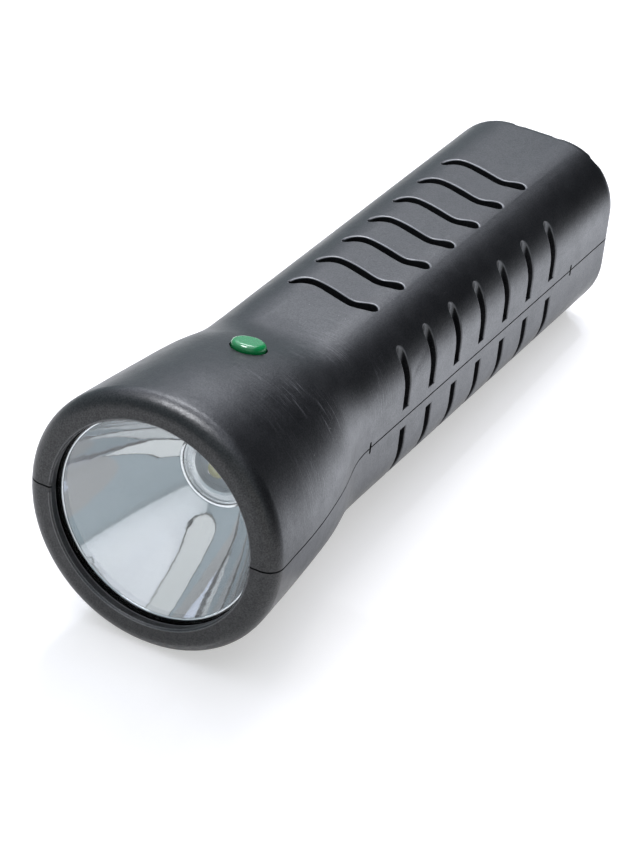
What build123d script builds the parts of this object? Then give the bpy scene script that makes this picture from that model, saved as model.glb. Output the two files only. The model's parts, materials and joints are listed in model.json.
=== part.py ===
from build123d import *

# Hand-held reflector torch with a two-part moulded housing, a push button and a vented grip.
#
# The housing is an upper and a lower shell that meet on the plane Z = 0.  The beam leaves along -Y,
# the grip runs back along +Y.  All sizes are millimetres.  Distances named "back" are measured
# backwards from the front rim; the frame's origin is on the axis at mid-length.

import os
from math import hypot, sqrt

os.makedirs("parts", exist_ok=True)

# ---------------------------------------------------------------- driving dimensions
LENGTH = 155.0            # front rim to tail face
HALF = LENGTH / 2
HEAD_R = 25.88            # largest radius of the round head
RIM_EDGE_R = 3.0          # rounding between the rim and the side of the head
RIM_FLAT_R = HEAD_R - RIM_EDGE_R
OPENING_R = 20.6          # clear opening in front of the lens
GRIP_W = 19.0             # half width and half height of the grip
GRIP_FLAT = 6.0           # half width of the flat on each side of the grip
WALL = 2.2                # shell wall
TAIL_EDGE_R = 3.4         # rounding around the tail
TAIL_WALL = 2.2
PARTING_GAP = 0.32        # width of the shadow line between the shells
PARTING_DEPTH = 0.6
GATE_MARKS = (47.8, 134.8)  # small moulding scars across the parting line
GATE_MARK_W = 0.7
GATE_MARK_H = 2.6
GATE_MARK_DEPTH = 0.3
VENT_EDGE_R = 0.3         # rounding where the vents meet the outside
RIM_BEVEL = 0.35          # bevel on the inner edge of the front rim

# half width, half flat of the section at each distance back: round head to rounded-square grip
HEAD_SECTIONS = [
    (3.3, HEAD_R, 0.24), (6.5, 25.64, 0.24), (10.0, 25.36, 0.24), (14.0, 25.04, 0.26),
    (18.0, 24.59, 0.46), (22.0, 24.02, 1.00), (26.0, 23.33, 1.80), (30.0, 22.56, 2.70),
    (33.0, 21.88, 3.40), (36.0, 21.06, 4.10), (38.5, 20.32, 4.70), (41.0, 19.68, 5.25),
    (43.5, 19.25, 5.70), (46.0, 19.05, 5.95), (48.5, GRIP_W, GRIP_FLAT), (51.0, GRIP_W, GRIP_FLAT),
]

# vents: seven wavy slots on the flats, seven upright grooves in each corner, four at the tail
VENT_COUNT = 7
VENT_PITCH = 10.55
SLOT_FIRST = 63.68        # centre of the first wavy slot
GROOVE_FIRST = 61.38      # centre of the first side groove
GROOVE_WIDTH = 2.2
GROOVE_FLOOR_X = 15.75    # upright inner face of a side groove
GROOVE_END_Z = 2.3        # where a groove stops short of the parting plane
TAIL_GROOVE_X = (4.5, 13.4)
TAIL_GROOVE_WIDTH = 2.8
TAIL_GROOVE_DEPTH = 2.7

# button
BUTTON_BACK = 31.6
BUTTON_R = 3.3
BUTTON_HOLE_R = 3.55
BUTTON_TRAVEL = 1.0
BUTTON_SLOPE = 14.0       # degrees: the cap follows the slope of the head

# optics
LIP = 1.8                 # thickness of the front lip
SEAT_R = 22.2
SEAL_T = 0.4
LENS_R = 21.9
LENS_T = 1.5
LENS_BACK = LIP + SEAL_T
REFLECTOR_BACK = LENS_BACK + LENS_T
REFLECTOR_R = 20.2
NECK_R = 7.85
NECK_BACK = 24.3
REFLECTOR_END = 27.0
REFLECTOR_WALL = 1.2
FLANGE_T = 1.2
COLLAR_R = 7.3
COLLAR_BORE_R = 5.1
COLLAR_BACK = 25.2
LED_BOARD_R = 12.6
LED_BOARD_T = 1.6
SPREADER_T = 1.5
CUT_TOP = 7.2             # the LED board and the spreader are cut off above this height

# inner chassis and driver board
CHASSIS_BACK = REFLECTOR_END + LED_BOARD_T + SPREADER_T
CHASSIS_T = 2.0
SHELF_TOP = 6.0
SHELF_T = 1.6
SHELF_HALF_W = 10.0
BOARD_T = 1.6
BOARD_TOP = SHELF_TOP + BOARD_T
BOARD_END = 46.8
BULKHEAD_BACK = 48.0
BULKHEAD_T = 3.0
BULKHEAD_END = BULKHEAD_BACK + BULKHEAD_T
SWITCH_W = 7.0
SWITCH_BORE_R = 1.9
PLUNGER_R = 1.6
PLUNGER_FOOT = 12.2
SPRING_FOOT = 8.8
SPRING_WIRE = 0.36
GUIDE_FOOT = 18.4         # lower end of the button's guide
BUTTON_FOOT = 17.2
SWITCH_TOP = BUTTON_FOOT - BUTTON_TRAVEL - 1.2
FLANGE_TOP = 18.2
FLANGE_R = 4.4
BUTTON_TOP = 23.6         # height of the button's top face on its axis
BUTTON_HEAD_T = 1.75      # thickness of the wider top of the button
BUTTON_NECK_R = 3.1

# cells
CELL_BACK = 54.0
CELL_LEN = 86.0
CELL_X = 5.9              # centre of each cell off the middle
CELL_T = 9.4
CELL_H = 26.0
CASE_WALL = 1.5
CASE_LIP = 0.3
CATHODE_T = 0.8
ANODE_T = 2.0
TERMINAL_T = 0.6
BRIDGE_T = 0.5
PAD_T = 2.2
CRADLE_BACKS = (69.8, 101.45, 133.1)

# screws
SCREW_PLACES = [(-14.0, 38.2), (14.0, 38.2), (-11.0, 147.2), (11.0, 147.2)]
SCREW_SEAT = -8.0         # height of the seat under each screw head
SCREW_R = 1.25
SCREW_HEAD_R = 2.3
SCREW_HEAD_T = 1.8
SCREW_TIP = 6.5
BOSS_R = 3.5
RECESS_R = 2.7
SMALL_SCREW_R = 0.9
SMALL_HEAD_R = 1.45

# wires
WIRE_R = 0.55


def across(back):
    """Plane across the axis at a distance back from the front rim; local x, y are X, Z."""
    return Plane.XZ.offset(HALF - back)


def row_y(back):
    return back - HALF


# ---------------------------------------------------------------- housing forms
def form(inset):
    """The whole housing's outer form pulled in by inset."""
    with BuildPart() as made:
        # rounded front rim
        first, half, flat = HEAD_SECTIONS[0]
        with BuildSketch(across(inset)):
            w = half - inset
            RectangleRounded(2 * w, 2 * w, w - flat)
        extrude(amount=-(first - inset))
        fillet(made.faces().sort_by(Axis.Y)[0].edges(), radius=RIM_EDGE_R - inset)
        # head
        for back, half, flat in HEAD_SECTIONS:
            with BuildSketch(across(back)):
                w = half - inset
                RectangleRounded(2 * w, 2 * w, w - flat)
        loft()
        # grip
        with BuildSketch(across(HEAD_SECTIONS[-1][0])):
            w = GRIP_W - inset
            RectangleRounded(2 * w, 2 * w, w - GRIP_FLAT)
        extrude(amount=-(LENGTH - inset - HEAD_SECTIONS[-1][0]))
        tail = made.faces().sort_by(Axis.Y)[-1].edges()
        fillet(tail, radius=TAIL_EDGE_R - inset)
    return made


outer_form = form(0)
core_form = form(PARTING_DEPTH)

with BuildPart() as cavity:
    for back, half, flat in HEAD_SECTIONS[1:]:
        with BuildSketch(across(back)):
            w = half - WALL
            RectangleRounded(2 * w, 2 * w, w - flat)
    loft()
    with BuildSketch(across(HEAD_SECTIONS[-1][0])):
        w = GRIP_W - WALL
        RectangleRounded(2 * w, 2 * w, w - GRIP_FLAT)
    extrude(amount=-(LENGTH - TAIL_WALL - HEAD_SECTIONS[-1][0]))
    # opening, lens seat and the step that holds the reflector's flange
    with BuildSketch(Plane.XY):
        with BuildLine():
            step = row_y(REFLECTOR_BACK + FLANGE_T + 0.05)
            Polyline(
                (0, row_y(-2)), (OPENING_R + RIM_BEVEL + 1.2, row_y(-1.2)), (OPENING_R + RIM_BEVEL, row_y(0)),
                (OPENING_R, row_y(RIM_BEVEL)), (OPENING_R, row_y(LIP)), (SEAT_R, row_y(LIP)),
                (SEAT_R, step), (21.1, step), (21.1, row_y(7.0)), (0, row_y(7.0)), (0, row_y(-2)),
            )
        make_face()
    revolve(axis=Axis.Y)

with BuildPart() as parting_groove:
    # a thin plate with the housing's own outline, pulled in, left out of it
    with BuildSketch(Plane.XY.offset(-PARTING_GAP / 2)):
        Rectangle(70, LENGTH + 20)
        with BuildLine() as inner_outline:
            d = PARTING_DEPTH
            rim = Line((0, row_y(d)), (RIM_FLAT_R, row_y(d)))
            rim_arc = JernArc(rim @ 1, (1, 0), RIM_EDGE_R - d, 90)
            Line(rim_arc @ 1, (HEAD_R - d, row_y(HEAD_SECTIONS[0][0])))
            Spline(*[(half - d, row_y(back)) for back, half, flat in HEAD_SECTIONS[:-1]], tangents=((0, 1), (0, 1)))
            side = Line((GRIP_W - d, row_y(HEAD_SECTIONS[-2][0])), (GRIP_W - d, row_y(LENGTH - TAIL_EDGE_R)))
            tail_arc = JernArc(side @ 1, (0, 1), TAIL_EDGE_R - d, 90)
            Line(tail_arc @ 1, (0, row_y(LENGTH - d)))
            mirror(about=Plane.YZ)
        make_face(mode=Mode.SUBTRACT)
    extrude(amount=PARTING_GAP)

with BuildPart() as gate_marks:
    for back in GATE_MARKS:
        with BuildSketch(Plane.YZ.offset(GRIP_W - GATE_MARK_DEPTH)):
            with Locations((row_y(back), 0)):
                SlotOverall(GATE_MARK_H, GATE_MARK_W, rotation=90)
        extrude(amount=1)
    mirror(about=Plane.YZ)

# outline of one wavy slot about its own centre
SLOT_FAR = [(-9.35, 0.55), (-8.3, 2.15), (-7.0, 2.9), (-5.4, 3.12), (-3.2, 2.82), (-1.1, 2.25), (1.0, 1.5),
            (3.05, 0.75), (4.7, 0.55), (6.2, 1.15), (7.3, 1.75), (8.3, 1.95), (9.1, 1.35)]
SLOT_NEAR = [(9.15, 0.35), (8.4, -0.55), (7.3, -1.05), (6.0, -1.5), (4.5, -1.6), (2.4, -1.05), (0.3, -0.35),
             (-1.9, 0.38), (-3.7, 0.9), (-5.2, 0.95), (-6.4, 0.6), (-7.5, -0.1), (-8.5, -0.75), (-9.25, -0.55)]

with BuildSketch() as wavy_slot:
    with BuildLine():
        Spline(*(SLOT_FAR + SLOT_NEAR), periodic=True)
    make_face()

with BuildPart() as vents:
    # every opening of one half, made for the upper side
    with BuildSketch(Plane.XY.offset(GRIP_W - 6)):
        with Locations([(0, row_y(SLOT_FIRST + VENT_PITCH * k)) for k in range(VENT_COUNT)]):
            add(wavy_slot.sketch)
    extrude(amount=10)
    with BuildSketch(Plane.XY.offset(GROOVE_END_Z)):
        for k in range(VENT_COUNT):
            y = row_y(GROOVE_FIRST + VENT_PITCH * k)
            with Locations((-GROOVE_FLOOR_X - 6, y), (GROOVE_FLOOR_X + 6, y)):
                RectangleRounded(12, GROOVE_WIDTH, 1.0)
        for x in TAIL_GROOVE_X:
            y = row_y(LENGTH - TAIL_GROOVE_DEPTH + 6)
            with Locations((-x, y), (x, y)):
                RectangleRounded(TAIL_GROOVE_WIDTH, 12, 1.2)
    extrude(amount=30)


def is_vent_mouth(edge):
    """True for an edge where a vent of the grip meets the outside, but not for the form's own seams."""
    mid = edge.position_at(0.5)
    x, z = abs(mid.X), abs(mid.Z)
    if not 55 < mid.Y + HALF < 145 or z < 1.5 or edge.length > 30:
        return False
    corner = GRIP_W - GRIP_FLAT
    if x > GRIP_FLAT and z > GRIP_FLAT:
        off = hypot(x - GRIP_FLAT, z - GRIP_FLAT) - corner
    else:
        off = max(x, z) - GRIP_W
    along = abs(edge.tangent_at(0.5).Y) > 0.9999
    seam = along and (abs(x - GRIP_FLAT) < 0.01 or abs(z - GRIP_FLAT) < 0.01)
    return abs(off) < 0.002 and not seam


with BuildPart() as half_shell:
    add(outer_form.part)
    add(cavity.part, mode=Mode.SUBTRACT)
    split(bisect_by=Plane.XY, keep=Keep.TOP)
    add(parting_groove.part, mode=Mode.SUBTRACT)
    add(gate_marks.part, mode=Mode.SUBTRACT)
    add(vents.part, mode=Mode.SUBTRACT)
    mouths = half_shell.edges().filter_by(is_vent_mouth)
    fillet(mouths, radius=VENT_EDGE_R)

# ---------------------------------------------------------------- inside of the shells
IN = GRIP_W - WALL        # half width of the grip's inside

with BuildPart() as inner_ribs:
    # two ribs each side of the bulkhead, a stop behind the cells
    for back, depth in ((BULKHEAD_BACK - 1.3, 1.8), (BULKHEAD_END + 0.1, 1.8), (144.0, 5.0)):
        with BuildSketch(across(back)):
            RectangleRounded(2 * IN + 1.2, 2 * IN + 1.2, IN + 0.6 - GRIP_FLAT)
            RectangleRounded(2 * (IN - depth), 2 * (IN - depth), IN - depth - GRIP_FLAT, mode=Mode.SUBTRACT)
        extrude(amount=-1.2)
    # cradles round the cells
    for back in CRADLE_BACKS:
        with BuildSketch(across(back - 0.6)):
            RectangleRounded(2 * IN + 1.2, 2 * IN + 1.2, IN + 0.6 - GRIP_FLAT)
            Rectangle(2 * (CELL_X + CELL_T / 2 + 0.15), CELL_H + 0.3, mode=Mode.SUBTRACT)
        extrude(amount=-1.2)

with BuildPart() as pillars:
    with BuildSketch(Plane.XY):
        with Locations([(x, row_y(back)) for x, back in SCREW_PLACES]):
            Circle(BOSS_R)
    extrude(amount=30)
    add(core_form.part, mode=Mode.INTERSECT)

with BuildPart() as half_inside:
    add(inner_ribs.part)
    split(bisect_by=Plane.XY, keep=Keep.TOP)
    add(pillars.part)

with BuildPart() as guide:
    with BuildSketch(Plane.XY.offset(GUIDE_FOOT)):
        with Locations((0, row_y(BUTTON_BACK))):
            Circle(BUTTON_HOLE_R + 1.3)
    extrude(amount=10)
    add(core_form.part, mode=Mode.INTERSECT)

with BuildPart() as upper_shell:
    add(half_shell.part)
    add(half_inside.part)
    add(guide.part)
    # button hole
    with BuildSketch(Plane.XY.offset(GUIDE_FOOT - 2)):
        with Locations((0, row_y(BUTTON_BACK))):
            Circle(BUTTON_HOLE_R)
    extrude(amount=20, mode=Mode.SUBTRACT)
    # screw holes, blind from the parting plane
    with BuildSketch(Plane.XY):
        with Locations([(x, row_y(back)) for x, back in SCREW_PLACES]):
            Circle(SCREW_R + 0.03)
    extrude(amount=SCREW_TIP + 1.5, mode=Mode.SUBTRACT)

with BuildPart() as lower_shell:
    add(half_shell.part)
    add(half_inside.part)
    mirror(about=Plane.XY, mode=Mode.REPLACE)
    with BuildSketch(Plane.XY):
        with Locations([(x, row_y(back)) for x, back in SCREW_PLACES]):
            Circle(SCREW_R + 0.25)
    extrude(amount=-30, mode=Mode.SUBTRACT)
    with BuildSketch(Plane.XY.offset(SCREW_SEAT)):
        with Locations([(x, row_y(back)) for x, back in SCREW_PLACES]):
            Circle(RECESS_R)
    extrude(amount=-30, mode=Mode.SUBTRACT)

# ---------------------------------------------------------------- lens, seal and reflector
with BuildPart() as lens:
    with BuildSketch(across(LENS_BACK)):
        Circle(LENS_R)
    extrude(amount=-LENS_T)
    chamfer(lens.edges(), length=0.25)

with BuildPart() as lens_seal:
    with BuildSketch(across(LIP)):
        Circle(LENS_R)
        Circle(OPENING_R + 0.25, mode=Mode.SUBTRACT)
    extrude(amount=-SEAL_T)

K = (REFLECTOR_R**2 - NECK_R**2) / (NECK_BACK - REFLECTOR_BACK)
VERTEX = NECK_BACK + NECK_R**2 / K
steps = [NECK_BACK + (REFLECTOR_BACK - NECK_BACK) * i / 10 for i in range(11)]
bowl = [(sqrt(K * (VERTEX - back)), row_y(back)) for back in steps]
outer_steps = [NECK_BACK - 0.2 + (REFLECTOR_BACK + FLANGE_T - NECK_BACK + 0.2) * i / 8 for i in range(9)]
bowl_back = [(sqrt(K * (VERTEX - back)) + REFLECTOR_WALL, row_y(back)) for back in outer_steps]

with BuildPart() as reflector:
    with BuildSketch(Plane.XY):
        with BuildLine():
            Spline(*bowl)
            Polyline((REFLECTOR_R, row_y(REFLECTOR_BACK)), (LENS_R, row_y(REFLECTOR_BACK)),
                     (LENS_R, row_y(REFLECTOR_BACK + FLANGE_T)), bowl_back[-1])
            Spline(*bowl_back)
            neck_out = bowl_back[0][0]
            Polyline(bowl_back[0], (neck_out, row_y(REFLECTOR_END)), (COLLAR_R + 0.1, row_y(REFLECTOR_END)),
                     (COLLAR_R + 0.1, row_y(NECK_BACK + 0.25)), (NECK_R, row_y(NECK_BACK + 0.25)), bowl[0])
        make_face()
    revolve(axis=Axis.Y)

with BuildPart() as led_collar:
    with BuildSketch(Plane.XY):
        with BuildLine():
            Polyline(
                (COLLAR_R, row_y(REFLECTOR_END)), (COLLAR_R, row_y(COLLAR_BACK - 0.3)),
                (COLLAR_R - 0.45, row_y(COLLAR_BACK - 0.3)), (COLLAR_R - 0.45, row_y(COLLAR_BACK)),
                (COLLAR_BORE_R + 0.5, row_y(COLLAR_BACK)), (COLLAR_BORE_R + 0.5, row_y(COLLAR_BACK - 0.2)),
                (COLLAR_BORE_R, row_y(COLLAR_BACK)), (COLLAR_BORE_R, row_y(REFLECTOR_END)),
                (COLLAR_R, row_y(REFLECTOR_END)),
            )
        make_face()
    revolve(axis=Axis.Y)

# ---------------------------------------------------------------- light source
LED_BASE_T = 1.3
LED_SCREW_PLACES = [(-10.1, -4.6), (10.1, -4.6)]
with BuildPart() as led_board:
    with BuildSketch(across(REFLECTOR_END)):
        Circle(LED_BOARD_R)
        with Locations(*LED_SCREW_PLACES):
            Circle(SMALL_SCREW_R + 0.15, mode=Mode.SUBTRACT)
        with Locations((0, CUT_TOP + 10)):
            Rectangle(40, 20, mode=Mode.SUBTRACT)
    extrude(amount=-LED_BOARD_T)

with BuildPart() as heat_spreader:
    with BuildSketch(across(REFLECTOR_END + LED_BOARD_T)):
        Circle(LED_BOARD_R + 1.4)
        with Locations(*LED_SCREW_PLACES):
            Circle(SMALL_SCREW_R + 0.15, mode=Mode.SUBTRACT)
        with Locations((0, CUT_TOP + 10)):
            Rectangle(40, 20, mode=Mode.SUBTRACT)
    extrude(amount=-SPREADER_T)

with BuildPart() as led_package:
    with BuildSketch(across(REFLECTOR_END)):
        RectangleRounded(5.0, 5.0, 0.5)
    extrude(amount=LED_BASE_T)
    with BuildSketch(across(REFLECTOR_END - LED_BASE_T)):
        Circle(1.7)
    extrude(amount=-0.4, mode=Mode.SUBTRACT)

with BuildPart() as led_phosphor:
    with BuildSketch(across(REFLECTOR_END - LED_BASE_T + 0.4)):
        Circle(1.7)
    extrude(amount=0.35)

with BuildPart() as led_dome:
    with BuildSketch(Plane.XY):
        with BuildLine():
            base_y = row_y(REFLECTOR_END - LED_BASE_T)
            Polyline((0, base_y - 2.4), (0, base_y), (2.1, base_y), (2.1, base_y - 0.3))
            CenterArc((0, base_y - 0.3), 2.1, -90, 90)
        make_face()
    revolve(axis=Axis.Y)

with BuildPart() as led_screws:
    for place in LED_SCREW_PLACES:
        with BuildSketch(across(REFLECTOR_END)):
            with Locations(place):
                Circle(SMALL_HEAD_R)
        extrude(amount=0.9)
        with BuildSketch(across(REFLECTOR_END)):
            with Locations(place):
                Circle(SMALL_SCREW_R)
        extrude(amount=-(LED_BOARD_T + SPREADER_T + CHASSIS_T))
    heads = led_screws.faces().filter_by(Axis.Y).group_by(Axis.Y)[0]
    for face in heads:
        with BuildSketch(Plane(face.center(), x_dir=(1, 0, 0), z_dir=(0, -1, 0))):
            Rectangle(1.7, 0.4)
            Rectangle(0.4, 1.7)
        extrude(amount=-0.45, mode=Mode.SUBTRACT)

# ---------------------------------------------------------------- chassis and driver
WIRE_HOLES = [(-6.0, 10.0), (6.0, 10.0)]
with BuildPart() as chassis:
    # front plate behind the spreader
    with BuildSketch(across(CHASSIS_BACK)):
        Circle(LED_BOARD_R)
        with Locations((0, SHELF_TOP + 10)):
            Rectangle(40, 20, mode=Mode.SUBTRACT)
        with Locations(*LED_SCREW_PLACES):
            Circle(SMALL_SCREW_R + 0.03, mode=Mode.SUBTRACT)
        with Locations((0, -3)):
            RectangleRounded(11, 9, 2, mode=Mode.SUBTRACT)
    extrude(amount=-CHASSIS_T)
    # shelf and its two stiffening webs
    with BuildSketch(Plane.XY.offset(SHELF_TOP)):
        with Locations((0, row_y((CHASSIS_BACK + BULKHEAD_BACK) / 2))):
            Rectangle(2 * SHELF_HALF_W, BULKHEAD_BACK - CHASSIS_BACK)
    extrude(amount=-SHELF_T)
    with BuildSketch(Plane.XY.offset(SHELF_TOP - SHELF_T)):
        with Locations((-8.0, row_y((CHASSIS_BACK + BULKHEAD_BACK) / 2)), (8.0, row_y((CHASSIS_BACK + BULKHEAD_BACK) / 2))):
            Rectangle(1.4, BULKHEAD_BACK - CHASSIS_BACK)
    extrude(amount=-5.0)
    # bulkhead
    with BuildSketch(across(BULKHEAD_BACK)):
        RectangleRounded(2 * IN - 0.4, 2 * IN - 0.4, IN - 0.2 - GRIP_FLAT)
        with Locations(WIRE_HOLES):
            Circle(1.0, mode=Mode.SUBTRACT)
    extrude(amount=-BULKHEAD_T)
    # holes for the two board screws
    with BuildSketch(Plane.XY.offset(SHELF_TOP)):
        with Locations((-8.2, row_y(45.0)), (8.2, row_y(45.0))):
            Circle(SMALL_SCREW_R + 0.03)
    extrude(amount=-4.0, mode=Mode.SUBTRACT)

with BuildPart() as driver_board:
    with BuildSketch(Plane.XY.offset(SHELF_TOP)):
        with Locations((0, row_y((CHASSIS_BACK + 0.3 + BOARD_END) / 2))):
            RectangleRounded(2 * SHELF_HALF_W - 0.4, BOARD_END - CHASSIS_BACK - 0.3, 1.0)
        with Locations((-8.2, row_y(45.0)), (8.2, row_y(45.0))):
            Circle(SMALL_SCREW_R + 0.2, mode=Mode.SUBTRACT)
    extrude(amount=BOARD_T)

with BuildPart() as driver_screws:
    for x in (-8.2, 8.2):
        with BuildSketch(Plane.XY.offset(BOARD_TOP)):
            with Locations((x, row_y(45.0))):
                Circle(SMALL_HEAD_R)
        extrude(amount=0.9)
        with BuildSketch(Plane.XY.offset(BOARD_TOP)):
            with Locations((x, row_y(45.0))):
                Circle(SMALL_SCREW_R)
        extrude(amount=-4.6)
        with BuildSketch(Plane.XY.offset(BOARD_TOP + 0.9)):
            with Locations((x, row_y(45.0))):
                Rectangle(1.7, 0.4)
                Rectangle(0.4, 1.7)
        extrude(amount=-0.45, mode=Mode.SUBTRACT)

with BuildPart() as driver_inductor:
    with BuildSketch(Plane.XY.offset(BOARD_TOP)):
        with Locations((-4.2, row_y(39.0))):
            RectangleRounded(6.0, 6.0, 1.2)
    extrude(amount=0.8)
    with BuildSketch(Plane.XY.offset(BOARD_TOP + 0.8)):
        with Locations((-4.2, row_y(39.0))):
            Circle(2.3)
    extrude(amount=2.2)
    with BuildSketch(Plane.XY.offset(BOARD_TOP + 3.0)):
        with Locations((-4.2, row_y(39.0))):
            RectangleRounded(6.0, 6.0, 1.2)
    extrude(amount=0.8)

with BuildPart() as driver_capacitor:
    with BuildSketch(Plane.XY.offset(BOARD_TOP)):
        with Locations((5.4, row_y(39.4))):
            Circle(2.5)
    extrude(amount=5.4)
    fillet(driver_capacitor.edges().group_by(Axis.Z)[-1], radius=0.4)

with BuildPart() as driver_chip:
    with BuildSketch(Plane.XY.offset(BOARD_TOP)):
        with Locations((1.9, row_y(43.6))):
            Rectangle(4.9, 3.9)
    extrude(amount=1.5)
    chamfer(driver_chip.edges().group_by(Axis.Z)[-1], length=0.25)

# ---------------------------------------------------------------- switch and button
with BuildPart() as switch_body:
    with BuildSketch(Plane.XY.offset(BOARD_TOP)):
        with Locations((0, row_y(BUTTON_BACK))):
            Rectangle(SWITCH_W, SWITCH_W)
    extrude(amount=SWITCH_TOP - BOARD_TOP)
    chamfer(switch_body.edges().filter_by(Axis.Z), length=0.5)
    with BuildSketch(Plane.XY.offset(SPRING_FOOT)):
        with Locations((0, row_y(BUTTON_BACK))):
            Circle(SWITCH_BORE_R)
    extrude(amount=10, mode=Mode.SUBTRACT)

with BuildPart() as switch_plunger:
    with BuildSketch(Plane.XY.offset(PLUNGER_FOOT)):
        with Locations((0, row_y(BUTTON_BACK))):
            Circle(PLUNGER_R)
    extrude(amount=BUTTON_FOOT - PLUNGER_FOOT)
    chamfer(switch_plunger.edges(), length=0.2)

with BuildPart() as switch_spring:
    coils_top = PLUNGER_FOOT - SPRING_WIRE / 2 - 0.02
    coils_foot = SPRING_FOOT + SPRING_WIRE / 2 + 0.02
    with BuildLine(Plane.XY):
        wire = Helix(pitch=(coils_top - coils_foot) / 4, height=coils_top - coils_foot, radius=1.15,
                     center=(0, row_y(BUTTON_BACK), coils_foot))
    with BuildSketch(Plane(wire @ 0, z_dir=wire % 0)):
        Circle(SPRING_WIRE / 2)
    sweep(path=wire, is_frenet=True)

SLOPE_PLANE = Plane(origin=(0, row_y(BUTTON_BACK), BUTTON_TOP), x_dir=(1, 0, 0), z_dir=(0, 0, 1)).rotated((-BUTTON_SLOPE, 0, 0))
with BuildPart() as button_head:
    with BuildSketch(Plane.XY.offset(BUTTON_FOOT)):
        with Locations((0, row_y(BUTTON_BACK))):
            Circle(BUTTON_R)
    extrude(amount=10)
    split(bisect_by=SLOPE_PLANE, keep=Keep.BOTTOM)
    split(bisect_by=SLOPE_PLANE.offset(-BUTTON_HEAD_T), keep=Keep.TOP)
    crown = button_head.faces().sort_by(Axis.Z)[-1].edges()
    fillet(crown, radius=0.95)

with BuildPart() as button_cap:
    with BuildSketch(Plane.XY.offset(BUTTON_FOOT)):
        with Locations((0, row_y(BUTTON_BACK))):
            Circle(BUTTON_NECK_R)
    extrude(amount=10)
    split(bisect_by=SLOPE_PLANE.offset(-BUTTON_HEAD_T / 2), keep=Keep.BOTTOM)
    add(button_head.part)
    with BuildSketch(Plane.XY.offset(BUTTON_FOOT)):
        with Locations((0, row_y(BUTTON_BACK))):
            Circle(FLANGE_R)
    extrude(amount=FLANGE_TOP - BUTTON_FOOT)

# ---------------------------------------------------------------- cells
def cell_layer(x, thick, half_y_margin, z_margin):
    """A flat sheet of one cell: centre x, thickness, margins to the case's outside."""
    with BuildPart() as made:
        with BuildSketch(Plane.YZ.offset(x - thick / 2)):
            with Locations((row_y(CELL_BACK + CELL_LEN / 2), 0)):
                RectangleRounded(CELL_LEN - 2 * half_y_margin, CELL_H - 2 * z_margin, 1.0)
        extrude(amount=thick)
    return made


def cell_case(x):
    """A frame round one cell's plates, with a low lip each side."""
    with BuildPart() as made:
        with BuildSketch(Plane.YZ.offset(x - CELL_T / 2)):
            with Locations((row_y(CELL_BACK + CELL_LEN / 2), 0)):
                RectangleRounded(CELL_LEN, CELL_H, 1.6)
        extrude(amount=CELL_T)
        with BuildSketch(Plane.YZ.offset(x - CELL_T / 2 + CASE_LIP)):
            with Locations((row_y(CELL_BACK + CELL_LEN / 2), 0)):
                RectangleRounded(CELL_LEN - 2 * CASE_WALL, CELL_H - 2 * CASE_WALL, 1.0)
        extrude(amount=CELL_T - 2 * CASE_LIP, mode=Mode.SUBTRACT)
        # windows in both faces, with bars between them
        with BuildSketch(Plane.YZ.offset(x - CELL_T / 2)):
            for i in range(6):
                with Locations((row_y(CELL_BACK + 8.0 + 14.0 * i), 0)):
                    RectangleRounded(11.6, CELL_H - 2 * CASE_WALL - 1.6, 1.0)
        extrude(amount=CELL_T, mode=Mode.SUBTRACT)
    return made


LAYER_MARGIN = CASE_WALL + 0.0
wick_t = (CELL_T - 2 * CASE_LIP - 2 * CATHODE_T - ANODE_T) / 2
cell_parts = {}
for side, sign in (("left", -1), ("right", 1)):
    x = sign * CELL_X
    cell_parts[f"cell_case_{side}"] = cell_case(x)
    cell_parts[f"anode_{side}"] = cell_layer(x, ANODE_T, LAYER_MARGIN, LAYER_MARGIN)
    for layer, off, thick in (
        ("wicks", ANODE_T / 2 + wick_t / 2, wick_t),
        ("cathodes", CELL_T / 2 - CASE_LIP - CATHODE_T / 2, CATHODE_T),
    ):
        one = cell_layer(x - off, thick, LAYER_MARGIN, LAYER_MARGIN)
        other = cell_layer(x + off, thick, LAYER_MARGIN, LAYER_MARGIN)
        with BuildPart() as pair:
            add(one.part)
            add(other.part)
        cell_parts[f"{layer}_{side}"] = pair

with BuildPart() as cell_terminals:
    for x in (-CELL_X, CELL_X):
        with BuildSketch(across(CELL_BACK - TERMINAL_T)):
            with Locations((x, 1.0)):
                RectangleRounded(5.0, 8.0, 0.6)
        extrude(amount=-TERMINAL_T)
        with BuildSketch(across(CELL_BACK + CELL_LEN)):
            with Locations((x, 1.0)):
                RectangleRounded(5.0, 8.0, 0.6)
        extrude(amount=-TERMINAL_T)

with BuildPart() as bridge_plate:
    with BuildSketch(across(CELL_BACK + CELL_LEN + TERMINAL_T)):
        with Locations((0, 1.0)):
            RectangleRounded(2 * CELL_X + 5.0, 6.0, 1.0)
    extrude(amount=-BRIDGE_T)

with BuildPart() as tail_pad:
    with BuildSketch(across(CELL_BACK + CELL_LEN + TERMINAL_T + BRIDGE_T)):
        RectangleRounded(20.0, 28.0, 2.0)
    extrude(amount=-PAD_T)


def contact(x):
    """A bent strip: flat against the bulkhead, folded back into a tongue that meets a cell."""
    with BuildPart() as made:
        with BuildSketch(Plane.YZ.offset(x - 2.4)):
            with BuildLine():
                t = 0.4
                y = row_y(BULKHEAD_END)
                Polyline(
                    (y, 11.5), (y, -7.0), (y + t, -7.0), (y + 2.1, 0.2), (y + 1.2, 5.2), (y + 0.85, 5.1),
                    (y + 1.7, 0.25), (y + t, -4.9), (y + t, 11.5), (y, 11.5),
                )
            make_face()
        extrude(amount=4.8)
    return made


contact_positive = contact(CELL_X)
contact_negative = contact(-CELL_X)

# ---------------------------------------------------------------- wires
def lead(points, radii):
    """A round wire through the points, with an arc at each corner."""
    with BuildPart() as made:
        with BuildLine() as route:
            FilletPolyline(*points, radius=radii)
        with BuildSketch(Plane(route.line @ 0, z_dir=route.line % 0)):
            Circle(WIRE_R)
        sweep(path=route.line)
    return made


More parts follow.
